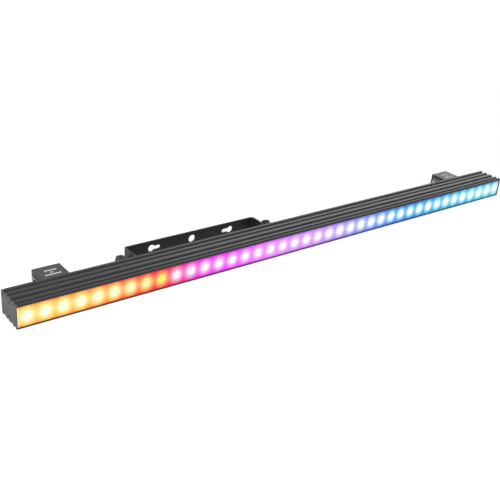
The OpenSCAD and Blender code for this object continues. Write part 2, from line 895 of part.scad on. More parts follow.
module carriage_screws() {
    shank_y = t_nut_front_y + screw_tail;
    color([0.12, 0.12, 0.12])
    translate([yoke_x, 0, 0])
    for (out = [-1, 1])
        difference() {
            union() {
                bar_y(out * t_nut_out, shank_y, mid_z, m6_shank_r,
                      bracket_back_y - shank_y + carriage_head_t / 4);
                bar_y(out * t_nut_out, bracket_back_y, mid_z, carriage_head_r, carriage_head_t);
            }
            translate([out * t_nut_out, bracket_back_y + carriage_head_t / 2, mid_z]) rotate([-90, 0, 0])
                cylinder(h = carriage_head_t, r = hex_drive_r, $fn = 6);
        }
}

// Nuts welded to the inner faces of the ears, which the knobs screw into
module pivot_nuts() {
    color([0.65, 0.65, 0.67])
    translate([yoke_x, 0, 0])
    both_sides()
    translate([-ear_outer + bracket_t, pivot_y, mid_z]) rotate([0, 90, 0])
        difference() {
            cylinder(h = pivot_nut_t, r = pivot_nut_flat / sqrt(3), $fn = 6);
            translate([0, 0, -cut]) cylinder(h = pivot_nut_t + 2 * cut, r = m6_thread_r);
        }
}

module friction_washers() {
    color([0.2, 0.2, 0.2])
    translate([yoke_x, 0, 0])
    both_sides()
    difference() {
        bar_x(-ear_outer - washer_t, pivot_y, mid_z, friction_washer_r, washer_t);
        bar_x(-ear_outer - washer_t - cut, pivot_y, mid_z, m6_hole_r, washer_t + 2 * cut);
    }
}

// Keyhole along X: round end outwards, slot towards the yoke's middle
module keyhole(out) {
    slot_r = keyhole_slot_w / 2;
    depth = yoke_t + 2 * cut;
    slot_end = keyhole_slot_l - slot_r;
    translate([out * keyhole_spacing / 2, yoke_back_y - yoke_t - cut, mid_z]) {
        bar_y(0, 0, 0, keyhole_r, depth);
        bar_y(-out * slot_end, 0, 0, slot_r, depth);
        block(-out * slot_end / 2, 0, 0, slot_end, depth, keyhole_slot_w);
    }
}

// Steel strip bent into a U, hung on the two knobs
module yoke() {
    leg_y = pivot_y - yoke_h / 2 - cut;
    color([0.07, 0.07, 0.07])
    translate([yoke_x, 0, 0])
    difference() {
        intersection() {
            bent_strip(yoke_w / 2, leg_y, yoke_back_y, yoke_t, yoke_bend_r, yoke_h);
            pivot_end(yoke_w + 2 * cut, yoke_h / 2, yoke_back_y + cut);
        }
        bar_x(-yoke_w / 2 - cut, pivot_y, mid_z, m6_hole_r, yoke_w + 2 * cut);
        bar_y(0, yoke_back_y - yoke_t - cut, mid_z, clamp_hole_r, yoke_t + 2 * cut);
        for (out = [-1, 1]) keyhole(out);
    }
}

// Places a knob piece on the pivot, with +Z running outwards from the yoke's middle
module knob_place(side) {
    translate([yoke_x, 0, 0])
    on_side(side)
    translate([0, pivot_y, mid_z]) rotate([0, -90, 0]) children();
}

// Fluted thumb knob with a boss, moulded round the head of its stud
module knob(side) {
    color([0.11, 0.11, 0.12])
    knob_place(side)
    difference() {
        union() {
            translate([0, 0, knob_start]) cylinder(h = knob_boss_l + root, r = knob_boss_r);
            intersection() {
                translate([0, 0, knob_head_start])
                    linear_extrude(knob_l)
                        difference() {
                            circle(knob_r);
                            for (i = [0 : knob_flutes - 1])
                                rotate((i + 0.5) * flute_pitch)
                                    translate([flute_out, 0]) circle(flute_r);
                        }
                translate([0, 0, knob_head_start]) rotate_extrude() {
                    square([knob_r - knob_edge_r, knob_l]);
                    translate([0, knob_edge_r]) square([knob_r, knob_l - 2 * knob_edge_r]);
                    for (h = [knob_edge_r, knob_l - knob_edge_r])
                        translate([knob_r - knob_edge_r, h]) circle(knob_edge_r);
                }
            }
        }
        translate([0, 0, knob_start - cut])
            cylinder(h = stud_end - knob_start + cut + fit_gap, r = m6_shank_r + fit_gap);
        translate([0, 0, knob_end - knob_dish_d]) cylinder(h = knob_dish_d + cut, r = knob_dish_r);
    }
}

module left_knob() { knob(-1); }
module right_knob() { knob(1); }

module knob_stud(side) {
    stud_start = ear_outer - bracket_t - pivot_nut_t - screw_tail;
    color([0.65, 0.65, 0.67])
    knob_place(side)
    translate([0, 0, stud_start]) cylinder(h = stud_end - stud_start, r = m6_shank_r);
}

module left_knob_stud() { knob_stud(-1); }
module right_knob_stud() { knob_stud(1); }

module knob_washer(side) {
    color([0.65, 0.65, 0.67])
    knob_place(side)
    translate([0, 0, knob_start - knob_washer_t])
    difference() {
        cylinder(h = knob_washer_t, r = knob_washer_r);
        translate([0, 0, -cut]) cylinder(h = knob_washer_t + 2 * cut, r = m6_hole_r);
    }
}

module left_knob_washer() { knob_washer(-1); }
module right_knob_washer() { knob_washer(1); }

housing();
front_lens();
lens_seals();
left_reflector();
right_reflector();
left_led_board();
right_led_board();
left_pixel_leds();
right_pixel_leds();
led_board_screws();
board_links();
left_driver_board();
right_driver_board();
driver_board_screws();
driver_chips();
driver_capacitors();
lead_headers();
left_end_cap();
right_end_cap();
left_cap_gasket();
right_cap_gasket();
cap_screws();
left_connector_box();
right_connector_box();
left_box_cover();
right_box_cover();
box_cover_screws();
box_nut_bars();
box_mount_screws();
input_socket_shell();
input_socket_insert();
input_socket_pins();
output_socket_shell();
output_socket_insert();
output_socket_contacts();
socket_screws();
input_lead();
output_lead();
carriage_bracket();
carriage_t_nuts();
carriage_screws();
pivot_nuts();
friction_washers();
yoke();
left_knob();
right_knob();
left_knob_stud();
right_knob_stud();
left_knob_washer();
right_knob_washer();
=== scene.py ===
import json
import math

import bmesh
import bpy
from mathutils import Matrix, Vector

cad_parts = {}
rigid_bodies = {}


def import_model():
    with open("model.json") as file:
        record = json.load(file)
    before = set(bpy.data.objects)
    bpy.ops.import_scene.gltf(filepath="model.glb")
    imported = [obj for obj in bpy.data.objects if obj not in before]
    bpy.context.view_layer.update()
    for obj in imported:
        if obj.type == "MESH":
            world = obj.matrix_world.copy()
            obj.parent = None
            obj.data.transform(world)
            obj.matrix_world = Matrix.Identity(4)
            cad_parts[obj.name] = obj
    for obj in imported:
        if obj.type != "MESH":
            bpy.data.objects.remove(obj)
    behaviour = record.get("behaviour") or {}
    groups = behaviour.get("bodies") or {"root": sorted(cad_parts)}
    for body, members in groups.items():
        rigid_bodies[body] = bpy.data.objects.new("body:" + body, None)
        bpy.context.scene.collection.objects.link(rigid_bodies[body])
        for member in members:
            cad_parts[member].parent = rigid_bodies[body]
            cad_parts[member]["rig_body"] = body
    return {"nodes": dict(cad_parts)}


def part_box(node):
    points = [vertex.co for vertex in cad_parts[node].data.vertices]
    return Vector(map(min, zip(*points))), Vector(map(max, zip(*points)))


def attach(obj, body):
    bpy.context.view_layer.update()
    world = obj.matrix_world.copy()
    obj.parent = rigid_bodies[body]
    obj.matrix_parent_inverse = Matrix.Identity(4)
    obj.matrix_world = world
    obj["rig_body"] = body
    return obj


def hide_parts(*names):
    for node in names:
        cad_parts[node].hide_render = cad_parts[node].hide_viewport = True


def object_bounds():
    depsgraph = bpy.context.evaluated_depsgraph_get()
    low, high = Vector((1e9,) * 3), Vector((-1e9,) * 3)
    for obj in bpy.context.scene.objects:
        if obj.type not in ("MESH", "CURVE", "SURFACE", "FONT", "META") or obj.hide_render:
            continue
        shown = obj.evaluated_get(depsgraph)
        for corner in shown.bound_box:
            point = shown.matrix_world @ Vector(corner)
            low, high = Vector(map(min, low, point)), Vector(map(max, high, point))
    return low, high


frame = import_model()
cad_low, cad_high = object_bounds()
cad_nodes = frame["nodes"]

# The view: the camera stands before the left end of the batten and looks down along it.
# It is turned a little about its own axis, so the batten climbs from the lower left to the right.
image_px = 500
focal_px = 773.46
sensor_mm = 36.0
view_azimuth = math.radians(-39.6820)
view_elevation = math.radians(26.2094)
view_roll = math.radians(5.1213)
camera_place = Vector((-0.80755, -0.84273, 0.54944))

camera_data = bpy.data.cameras.new("camera")
camera_data.sensor_width = sensor_mm
camera_data.lens = sensor_mm * focal_px / image_px
camera = bpy.data.objects.new("camera", camera_data)
bpy.context.scene.collection.objects.link(camera)
camera.matrix_world = (
    Matrix.Translation(camera_place)
    @ Matrix.Rotation(view_azimuth, 4, "Z")
    @ Matrix.Rotation(math.pi / 2 - view_elevation, 4, "X")
    @ Matrix.Rotation(view_roll, 4, "Z")
)
bpy.context.scene.camera = camera
bpy.context.scene.view_settings.view_transform = "Standard"

# The studio: a wide white floor under the batten, a white surround and three soft boxes.
# The floor and the surround show white to the eye and in reflections, and the floor keeps the shadow.
# Its own glow grows away from the batten, where less of the soft boxes' light falls.
floor_half = 30.0
floor_colour = (0.50, 0.50, 0.50, 1.0)
floor_lift = (0.62, 0.76)
floor_lift_reach = (1.0, 3.0)
surround_light = 0.55
soft_boxes = {
    "left_box": {"place": (-1.6, -0.5, 0.9), "aim": (-0.4, 0.0, 0.0), "side": 1.2, "watts": 14.0},
    "front_box": {"place": (-0.3, -1.7, 1.6), "aim": (0.0, 0.0, 0.0), "side": 1.5, "watts": 13.0},
    "back_box": {"place": (3.4, 3.2, 1.8), "aim": (0.2, 0.0, 0.0), "side": 3.2, "watts": 44.0},
}


def add_node(tree, kind, inputs=None, **settings):
    """A new node in a tree: settings are its properties, inputs its sockets' values or what feeds them."""
    node = tree.nodes.new(kind)
    for name, value in settings.items():
        setattr(node, name, value)
    for key, value in (inputs or {}).items():
        if isinstance(value, bpy.types.NodeSocket):
            tree.links.new(value, node.inputs[key])
        else:
            node.inputs[key].default_value = value
    return node


def seen_directly(tree):
    """One where the eye, a reflection or a clear piece sees the surface, and nought for its light."""
    path = add_node(tree, "ShaderNodeLightPath")
    eye_or_gloss = add_node(
        tree, "ShaderNodeMath",
        {0: path.outputs["Is Camera Ray"], 1: path.outputs["Is Glossy Ray"]}, operation="ADD")
    return add_node(
        tree, "ShaderNodeMath",
        {0: eye_or_gloss.outputs[0], 1: path.outputs["Is Transmission Ray"]},
        operation="ADD", use_clamp=True).outputs[0]


floor_white = bpy.data.materials.new("floor_white")
floor_white.use_nodes = True
tree = floor_white.node_tree
tree.nodes.clear()
floor_place = add_node(tree, "ShaderNodeTexCoord")
floor_reach = add_node(
    tree, "ShaderNodeVectorMath", {0: floor_place.outputs["Object"]}, operation="LENGTH")
lift_here = add_node(
    tree, "ShaderNodeMapRange",
    {"Value": floor_reach.outputs["Value"],
     "From Min": floor_lift_reach[0], "From Max": floor_lift_reach[1],
     "To Min": floor_lift[0], "To Max": floor_lift[1]})
lift = add_node(
    tree, "ShaderNodeMath", {0: seen_directly(tree), 1: lift_here.outputs[0]}, operation="MULTIPLY")
glow = add_node(tree, "ShaderNodeEmission", {"Strength": lift.outputs[0]})
paper = add_node(tree, "ShaderNodeBsdfDiffuse", {"Color": floor_colour})
floor_sum = add_node(tree, "ShaderNodeAddShader", {0: glow.outputs[0], 1: paper.outputs[0]})
add_node(tree, "ShaderNodeOutputMaterial", {"Surface": floor_sum.outputs[0]})

floor_mesh = bpy.data.meshes.new("floor")
floor_corners = [(-1, -1), (1, -1), (1, 1), (-1, 1)]
floor_mesh.from_pydata(
    [(x * floor_half, y * floor_half, cad_low.z) for x, y in floor_corners], [], [(0, 1, 2, 3)])
floor_mesh.materials.append(floor_white)
floor = bpy.data.objects.new("floor", floor_mesh)
bpy.context.scene.collection.objects.link(floor)

surround = bpy.data.worlds.new("surround")
bpy.context.scene.world = surround
surround.use_nodes = True
tree = surround.node_tree
level = add_node(
    tree, "ShaderNodeMapRange",
    {"Value": seen_directly(tree), "To Min": surround_light, "To Max": 1.0})
backdrop = tree.nodes["Background"]
backdrop.inputs["Color"].default_value = (1.0, 1.0, 1.0, 1.0)
tree.links.new(level.outputs[0], backdrop.inputs["Strength"])

for name, box in soft_boxes.items():
    lamp_data = bpy.data.lights.new(name, "AREA")
    lamp_data.size = box["side"]
    lamp_data.energy = box["watts"]
    lamp = bpy.data.objects.new(name, lamp_data)
    bpy.context.scene.collection.objects.link(lamp)
    towards = Vector(box["aim"]) - Vector(box["place"])
    lamp.matrix_world = (
        Matrix.Translation(box["place"]) @ towards.to_track_quat("-Z", "Y").to_matrix().to_4x4())

# The housing is one aluminium extrusion, four grooves along its top and four along its bottom.
# It is black anodised: the die leaves fine lines along it, and the colour lies a little uneven.
anodised_deep = (0.021, 0.021, 0.023)
anodised_pale = (0.038, 0.038, 0.042)
die_line = (0.40, 0.0006, 0.0006)
die_line_depth = 0.00001
grain_falloff = 0.6


def grained_finish(name, deep, pale, grain, rough, bump, detail=4.0, gleam=0.5, metallic=0.0):
    """A finish whose colour, gloss and height follow one noise. grain is its size along X, Y and Z."""
    finish = bpy.data.materials.new(name)
    finish.use_nodes = True
    tree = finish.node_tree
    shader = tree.nodes["Principled BSDF"]
    shader.inputs["Metallic"].default_value = metallic
    shader.inputs["Specular IOR Level"].default_value = gleam
    place = add_node(tree, "ShaderNodeTexCoord")
    size = add_node(
        tree, "ShaderNodeMapping",
        {"Vector": place.outputs["Object"], "Scale": [1.0 / side for side in grain]})
    noise = add_node(
        tree, "ShaderNodeTexNoise",
        {"Vector": size.outputs[0], "Scale": 1.0, "Detail": detail, "Roughness": grain_falloff})
    tone = add_node(
        tree, "ShaderNodeMix",
        {"Factor": noise.outputs["Fac"], 6: (*deep, 1.0), 7: (*pale, 1.0)}, data_type="RGBA")
    gloss = add_node(
        tree, "ShaderNodeMapRange",
        {"Value": noise.outputs["Fac"], "To Min": rough[0], "To Max": rough[1]})
    height = add_node(
        tree, "ShaderNodeBump",
        {"Height": noise.outputs["Fac"], "Strength": 1.0, "Distance": bump})
    tree.links.new(tone.outputs[2], shader.inputs["Base Color"])
    tree.links.new(gloss.outputs[0], shader.inputs["Roughness"])
    tree.links.new(height.outputs[0], shader.inputs["Normal"])
    return finish


def dress(finish, *names):
    """Gives CAD nodes their finish."""
    for name in names:
        cad_nodes[name].data.materials.clear()
        cad_nodes[name].data.materials.append(finish)


anodised = grained_finish(
    "black_anodised", anodised_deep, anodised_pale, die_line, rough=(0.34, 0.46), bump=die_line_depth,
    gleam=0.24)
dress(anodised, "housing")

# The end caps are plates cut to the body's ribbed outline and blasted before they are anodised.
# Each lies on a soft black gasket and is held by four countersunk screws in the body's ports.
cap_edge = 0.0003
blast_grain = (0.0008, 0.0008, 0.0008)
blast_depth = 0.00003
cap_deep = (0.045, 0.045, 0.047)
cap_pale = (0.068, 0.068, 0.071)
weld_gap = 0.000001
flat_angle = math.radians(1.0)
sharp_angle = math.radians(40.0)
gasket_grain = (0.002, 0.002, 0.002)


def stand_for(piece, node):
    """The piece takes a CAD node's place: it shows instead of it and rides with it."""
    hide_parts(node)
    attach(piece, cad_nodes[node]["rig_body"])


def plain_mesh(shaper):
    """The finished mesh of an object with its modifiers taken up."""
    depsgraph = bpy.context.evaluated_depsgraph_get()
    return bpy.data.meshes.new_from_object(shaper.evaluated_get(depsgraph))


def softened(node, edge, finish):
    """A copy of a CAD node with its sharp edges broken, as tumbling and coating leave them."""
    mesh = cad_nodes[node].data.copy()
    form = bmesh.new()
    form.from_mesh(mesh)
    bmesh.ops.remove_doubles(form, verts=form.verts, dist=weld_gap)
    bmesh.ops.dissolve_limit(form, angle_limit=flat_angle, verts=form.verts, edges=form.edges)
    for face in form.faces:
        face.smooth = True
    form.to_mesh(mesh)
    form.free()
    mesh.materials.clear()
    mesh.materials.append(finish)
    piece = bpy.data.objects.new(node + "_soft", mesh)
    bpy.context.scene.collection.objects.link(piece)
    rounding = piece.modifiers.new("edges", "BEVEL")
    rounding.width = edge
    rounding.segments = 2
    rounding.limit_method = "ANGLE"
    rounding.angle_limit = sharp_angle
    flats = piece.modifiers.new("flats", "WEIGHTED_NORMAL")
    flats.keep_sharp = True
    finished = plain_mesh(piece)
    piece.modifiers.clear()
    piece.data = finished
    stand_for(piece, node)
    return piece


blasted = grained_finish(
    "blasted_black", cap_deep, cap_pale, blast_grain, rough=(0.45, 0.6), bump=blast_depth)
for side in ("left", "right"):
    softened(side + "_end_cap", cap_edge, blasted)

gasket_rubber = grained_finish(
    "gasket_rubber", (0.012, 0.012, 0.012), (0.022, 0.022, 0.022), gasket_grain,
    rough=(0.7, 0.85), bump=0.00005)
dress(gasket_rubber, "left_cap_gasket", "right_cap_gasket")

# The cap screws are black steel with a countersunk head and a hexagon socket.
# They are turned and then set on the caps' own holes, each left where its thread happened to stop.
screw_steps = 48
socket_corners = 6
cap_screw_head_r = 0.0030
cap_screw_shank_r = 0.0014
cap_screw_drive_r = 0.0012
cap_screw_drive_d = 0.0010
cap_screw_rim = 0.0002
oxide_grain = (0.0005, 0.0005, 0.0005)


def hexagon(corner_r):
    """The outline of a hexagon as a radius at each angle."""
    half = math.pi / socket_corners
    return lambda angle: corner_r * math.cos(half) / math.cos(angle % (2 * half) - half)


def turned(profile, steps):
    """A closed shape turned about Z. profile gives radius and height from pole to pole.
    A radius is a number, or a function of the angle where the section isn't round."""
    form = bmesh.new()
    rings = []
    for radius, height in profile:
        if radius == 0:
            rings.append([form.verts.new((0, 0, height))])
            continue
        ring = []
        for step in range(steps):
            angle = 2 * math.pi * step / steps
            r = radius(angle) if callable(radius) else radius
            ring.append(form.verts.new((r * math.cos(angle), r * math.sin(angle), height)))
        rings.append(ring)
    for near, far in zip(rings, rings[1:]):
        for step in range(steps):
            corners = [near[step % len(near)], near[(step + 1) % len(near)],
                       far[(step + 1) % len(far)], far[step % len(far)]]
            form.faces.new(dict.fromkeys(corners))
    bmesh.ops.recalc_face_normals(form, faces=form.faces)
    for face in form.faces:
        face.smooth = True
    mesh = bpy.data.meshes.new("turned")
    form.to_mesh(mesh)
    form.free()
    mesh.set_sharp_from_angle(angle=sharp_angle)
    return mesh


def countersunk_screw(length):
    """A countersunk screw with its head's face at nought and its shank along -Z."""
    drive = hexagon(cap_screw_drive_r)
    neck = cap_screw_head_r - cap_screw_shank_r
    return turned([
        (0, -cap_screw_drive_d - cap_screw_rim),
        (drive, -cap_screw_drive_d),
        (drive, -cap_screw_rim / 2),
        (hexagon(cap_screw_drive_r + cap_screw_rim / 2), 0),
        (cap_screw_head_r - cap_screw_rim, 0),
        (cap_screw_head_r, -cap_screw_rim),
        (cap_screw_shank_r, -neck - cap_screw_rim),
        (cap_screw_shank_r, cap_screw_rim - length),
        (cap_screw_shank_r - cap_screw_rim, -length),
        (0, -length),
    ], screw_steps)


def solid_boxes(node):
    """The lowest and highest corner of each separate solid in a CAD node."""
    form = bmesh.new()
    form.from_mesh(cad_nodes[node].data)
    bmesh.ops.remove_doubles(form, verts=form.verts, dist=weld_gap)
    waiting = set(form.verts)
    boxes = []
    while waiting:
        front = [waiting.pop()]
        solid = []
        while front:
            corner = front.pop()
            solid.append(corner.co.copy())
            for edge in corner.link_edges:
                other = edge.other_vert(corner)
                if other in waiting:
                    waiting.remove(other)
                    front.append(other)
        boxes.append((
            Vector([min(p[axis] for p in solid) for axis in range(3)]),
            Vector([max(p[axis] for p in solid) for axis in range(3)])))
    form.free()
    return boxes


def head_point(box, facing):
    """The middle of the face of a solid's box that looks along facing."""
    low, high = box
    middle = (low + high) / 2
    return Vector([
        middle[axis] if facing[axis] == 0 else (high if facing[axis] > 0 else low)[axis]
        for axis in range(3)])


def fastener_tree():
    """Geometry nodes that set one fastener on every point, along the point's own facing."""
    tree = bpy.data.node_groups.new("set_fasteners", "GeometryNodeTree")
    sockets = tree.interface
    sockets.new_socket("Points", in_out="INPUT", socket_type="NodeSocketGeometry")
    sockets.new_socket("Fastener", in_out="INPUT", socket_type="NodeSocketObject")
    sockets.new_socket("Finish", in_out="INPUT", socket_type="NodeSocketMaterial")
    sockets.new_socket("Size", in_out="INPUT", socket_type="NodeSocketFloat")
    sockets.new_socket("Seed", in_out="INPUT", socket_type="NodeSocketInt")
    sockets.new_socket("Fasteners", in_out="OUTPUT", socket_type="NodeSocketGeometry")
    given = add_node(tree, "NodeGroupInput").outputs
    fastener = add_node(tree, "GeometryNodeObjectInfo", {"Object": given["Fastener"]})
    facing = add_node(
        tree, "GeometryNodeInputNamedAttribute", {"Name": "facing"}, data_type="FLOAT_VECTOR")
    aim = add_node(
        tree, "FunctionNodeAlignRotationToVector", {"Vector": facing.outputs[0]}, axis="Z")
    stop = add_node(
        tree, "FunctionNodeRandomValue",
        {"Min": (0, 0, 0), "Max": (0, 0, 2 * math.pi), "Seed": given["Seed"]},
        data_type="FLOAT_VECTOR")
    spin = add_node(
        tree, "FunctionNodeEulerToRotation", {0: stop.outputs[0]})
    turn = add_node(
        tree, "FunctionNodeRotateRotation",
        {0: aim.outputs[0], 1: spin.outputs[0]}, rotation_space="LOCAL")
    spread = add_node(
        tree, "GeometryNodeInstanceOnPoints",
        {"Points": given["Points"], "Instance": fastener.outputs["Geometry"],
         "Rotation": turn.outputs[0], "Scale": given["Size"]})
    solid = add_node(tree, "GeometryNodeRealizeInstances", {0: spread.outputs[0]})
    coated = add_node(
        tree, "GeometryNodeSetMaterial", {0: solid.outputs[0], "Material": given["Finish"]})
    add_node(tree, "NodeGroupOutput", {0: coated.outputs[0]})
    return tree


def grown(name, tree, seed_mesh, inputs):
    """A plain mesh object grown by a tree from a seed mesh, with the tree's named inputs set."""
    shaper = bpy.data.objects.new(name + "_seed", seed_mesh)
    bpy.context.scene.collection.objects.link(shaper)
    growth = shaper.modifiers.new("growth", "NODES")
    growth.node_group = tree
    for socket in tree.interface.items_tree:
        if socket.in_out == "INPUT" and socket.name in inputs:
            growth[socket.identifier] = inputs[socket.name]
    piece = bpy.data.objects.new(name, plain_mesh(shaper))
    bpy.data.objects.remove(shaper)
    bpy.context.scene.collection.objects.link(piece)
    return piece


set_fasteners = fastener_tree()


def fastened(node, shape, facing_of, finish, seed):
    """Fasteners of one shape in place of a CAD node's solids, on the faces that facing_of names."""
    points = bpy.data.meshes.new(node + "_points")
    boxes = solid_boxes(node)
    facings = [facing_of(box) for box in boxes]
    points.from_pydata([head_point(box, facing) for box, facing in zip(boxes, facings)], [], [])
    layer = points.attributes.new("facing", "FLOAT_VECTOR", "POINT")
    for point, facing in zip(layer.data, facings):
        point.vector = facing
    pattern = bpy.data.objects.new(node + "_pattern", shape)
    piece = grown(node + "_set", set_fasteners, points,
                  {"Fastener": pattern, "Finish": finish, "Size": 1.0, "Seed": seed})
    bpy.data.objects.remove(pattern)
    stand_for(piece, node)
    return piece


def box_length(node, axis):
    """The length along one axis of the first solid in a CAD node."""
    low, high = solid_boxes(node)[0]
    return high[axis] - low[axis]


def outwards_x(box):
    """Along X, away from the middle of the batten."""
    return Vector((1.0 if box[0].x > 0 else -1.0, 0, 0))


def backwards(box):
    """Along Y, out of the back."""
    return Vector((0, 1.0, 0))


black_oxide = grained_finish(
    "black_oxide", (0.012, 0.012, 0.013), (0.030, 0.030, 0.032), oxide_grain,
    rough=(0.32, 0.45), bump=0.00001, metallic=0.6)
fastened("cap_screws", countersunk_screw(box_length("cap_screws", 0)), outwards_x, black_oxide, seed=3)
fastened(
    "box_cover_screws", countersunk_screw(box_length("box_cover_screws", 1)), backwards,
    black_oxide, seed=5)

# Two white boards lie on the body's web and carry the pixels, a square package with a clear filling.
# Zinc-plated screws hold the boards, and black headers join them to the drivers behind the web.
board_pitch = 0.0125
trace_line = 0.04
mask_rough = 0.35
mask_shade = 0.9
zinc_grain = (0.0015, 0.0015, 0.0015)


def board_finish(name, mask, track):
    """Solder mask with the tracks under it showing as a fine grid."""
    finish = bpy.data.materials.new(name)
    finish.use_nodes = True
    tree = finish.node_tree
    shader = tree.nodes["Principled BSDF"]
    shader.inputs["Roughness"].default_value = mask_rough
    place = add_node(tree, "ShaderNodeTexCoord")
    upright = add_node(
        tree, "ShaderNodeMapping",
        {"Vector": place.outputs["Object"], "Rotation": (math.pi / 2, 0, 0)})
    tracks = add_node(
        tree, "ShaderNodeTexBrick",
        {"Vector": upright.outputs[0], "Color1": (*mask, 1.0),
         "Color2": (*[mask_shade * part for part in mask], 1.0), "Mortar": (*track, 1.0),
         "Scale": 1.0 / board_pitch, "Mortar Size": trace_line})
    tree.links.new(tracks.outputs["Color"], shader.inputs["Base Color"])
    return finish


dress(board_finish("led_board_mask", (0.80, 0.80, 0.78), (0.70, 0.69, 0.64)),
      "left_led_board", "right_led_board")

zinc_plate = grained_finish(
    "zinc_plate", (0.48, 0.48, 0.50), (0.62, 0.62, 0.63), zinc_grain,
    rough=(0.28, 0.42), bump=0.00001, metallic=1.0)
moulded_black = grained_finish(
    "moulded_black", (0.012, 0.012, 0.012), (0.022, 0.022, 0.022), (0.0006, 0.0006, 0.0006),
    rough=(0.45, 0.6), bump=0.00002)
dress(zinc_plate, "led_board_screws")
dress(moulded_black, "board_links")

package_gel = grained_finish(
    "package_gel", (0.80, 0.62, 0.16), (0.92, 0.80, 0.36), (0.002, 0.002, 0.002),
    rough=(0.12, 0.2), bump=0.00001)
dress(package_gel, "left_pixel_leds", "right_pixel_leds")

# The green driver boards stand on the body's screw ribs with chips, capacitors and the leads' headers.
# The capacitors have a dark blue sleeve, and the headers are cream nylon.
dress(board_finish("driver_board_mask", (0.010, 0.085, 0.035), (0.030, 0.16, 0.07)),
      "left_driver_board", "right_driver_board")
dress(zinc_plate, "driver_board_screws")
dress(moulded_black, "driver_chips")
sleeve_blue = grained_finish(
    "sleeve_blue", (0.010, 0.016, 0.055), (0.018, 0.026, 0.085), (0.004, 0.004, 0.004),
    rough=(0.25, 0.35), bump=0.00001)
dress(sleeve_blue, "driver_capacitors")
cream_nylon = grained_finish(
    "cream_nylon", (0.68, 0.62, 0.48), (0.80, 0.75, 0.62), (0.001, 0.001, 0.001),
    rough=(0.4, 0.55), bump=0.00002)
dress(cream_nylon, "lead_headers")

# Two white trays stand over the boards, with a cone round each pixel that throws its light forwards.
# They are moulded in a bright matt plastic.
tray_white = grained_finish(
    "tray_white", (0.80, 0.80, 0.79), (0.88, 0.88, 0.87), (0.003, 0.003, 0.003),
    rough=(0.35, 0.5), bump=0.00002)
dress(tray_white, "left_reflector", "right_reflector")

# The lens is one strip of lightly frosted polycarbonate, slid in behind the lips of the body on two seals.
# The pixels' light is painted on its front face as a glow: each pixel a pale spot in a wash of its own
# colour, from amber on the left, through red, magenta and violet, to cyan on the right.
pixel_count = 40
pixel_end_gap = 0.014
pixel_pitch = (cad_high.x - cad_low.x - 2 * pixel_end_gap) / (pixel_count - 1)
lens_low, lens_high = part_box("front_lens")
spot_height = (lens_low.z + lens_high.z) / 2
# A spot's pale core fades between two radii, and its halo reaches further towards both ends of the row
core_r = (0.0042, 0.0092)
halo_inner_r = 0.0055
halo_r = 0.0150
halo_growth = 0.0027
magenta_at = 0.38
blue_at = 0.78
# The wash is painted deeper and darker towards the lens's long edges as painted shade, with a painted
# highlight at its left end and painted shade at its right
edge_shade = 0.0065
edge_shade_depth = 1.0
end_glint = 0.0014
end_glint_depth = 0.65
end_shade = 0.0045
end_shade_depth = 0.95
lit_depth = 0.0005
unlit_colour = (0.012, 0.012, 0.012, 1.0)
lens_rough = 0.28
lens_gleam = 0.12
frost_grain = 0.0007
frost_depth = 0.00002
# Each run gives screen colours by their share of the way along the row
wash_colours = [
    (0.00, (252, 195, 85)), (0.09, (252, 178, 75)), (0.15, (252, 130, 65)), (0.20, (250, 65, 70)),
    (0.232, (250, 60, 120)), (0.27, (238, 70, 220)), (0.33, (240, 80, 248)), (0.42, (232, 145, 250)),
    (0.52, (200, 155, 240)), (0.62, (142, 160, 238)), (0.72, (62, 150, 232)), (0.85, (56, 182, 226)),
    (1.00, (62, 194, 222)),
]
halo_colours = [
    (0.00, (255, 250, 165)), (0.13, (255, 244, 150)), (0.215, (253, 182, 98)), (0.237, (254, 176, 210)),
    (0.30, (255, 178, 255)), (0.44, (246, 188, 250)), (0.56, (240, 220, 255)), (0.72, (175, 242, 255)),
    (1.00, (208, 253, 255)),
]
core_colours = [
    (0.00, (255, 255, 240)), (0.15, (255, 252, 210)), (0.19, (255, 246, 165)), (0.215, (255, 238, 105)),
    (0.237, (252, 242, 252)), (0.45, (255, 252, 255)), (1.00, (252, 255, 255)),
]


def linear(colour):
    """A screen colour of 0 to 255 as the light that shows it."""
    return [((part / 255 + 0.055) / 1.055) ** 2.4 if part > 10 else part / 255 / 12.92 for part in colour]


def colour_run(tree, along, colours):
    """A run of colours along a value from 0 to 1."""
    ramp = add_node(tree, "ShaderNodeValToRGB", {0: along})
    stops = ramp.color_ramp.elements
    while len(stops) < len(colours):
        stops.new(1.0)
    for stop, (place, colour) in zip(stops, colours):
        stop.position = place
        stop.color = (*linear(colour), 1.0)
    return ramp.outputs["Color"]


def maths(tree, operation, *values):
    """The result of one sum on values or sockets."""
    return add_node(
        tree, "ShaderNodeMath", dict(enumerate(values)), operation=operation).outputs[0]


def share(tree, value, low, high):
    """A value's share of the way between two limits."""
    return add_node(
        tree, "ShaderNodeMapRange", {"Value": value, "From Min": low, "From Max": high}).outputs[0]


def smooth_range(tree, value, low, high, at_low, at_high):
    """A value that eases from at_low to at_high between two limits."""
    return add_node(
        tree, "ShaderNodeMapRange",
        {"Value": value, "From Min": low, "From Max": high, "To Min": at_low, "To Max": at_high},
        interpolation_type="SMOOTHSTEP").outputs[0]


def distance(tree, across, above):
    """How far a point lies from a pixel's middle."""
    return maths(tree, "SQRT", maths(
        tree, "ADD", maths(tree, "MULTIPLY", across, across), maths(tree, "MULTIPLY", above, above)))


def mixed(tree, factor, first, second):
    """Two colours mixed by a factor."""
    mix = add_node(tree, "ShaderNodeMix", {"Factor": factor, 6: first, 7: second}, data_type="RGBA")
    return mix.outputs[2]


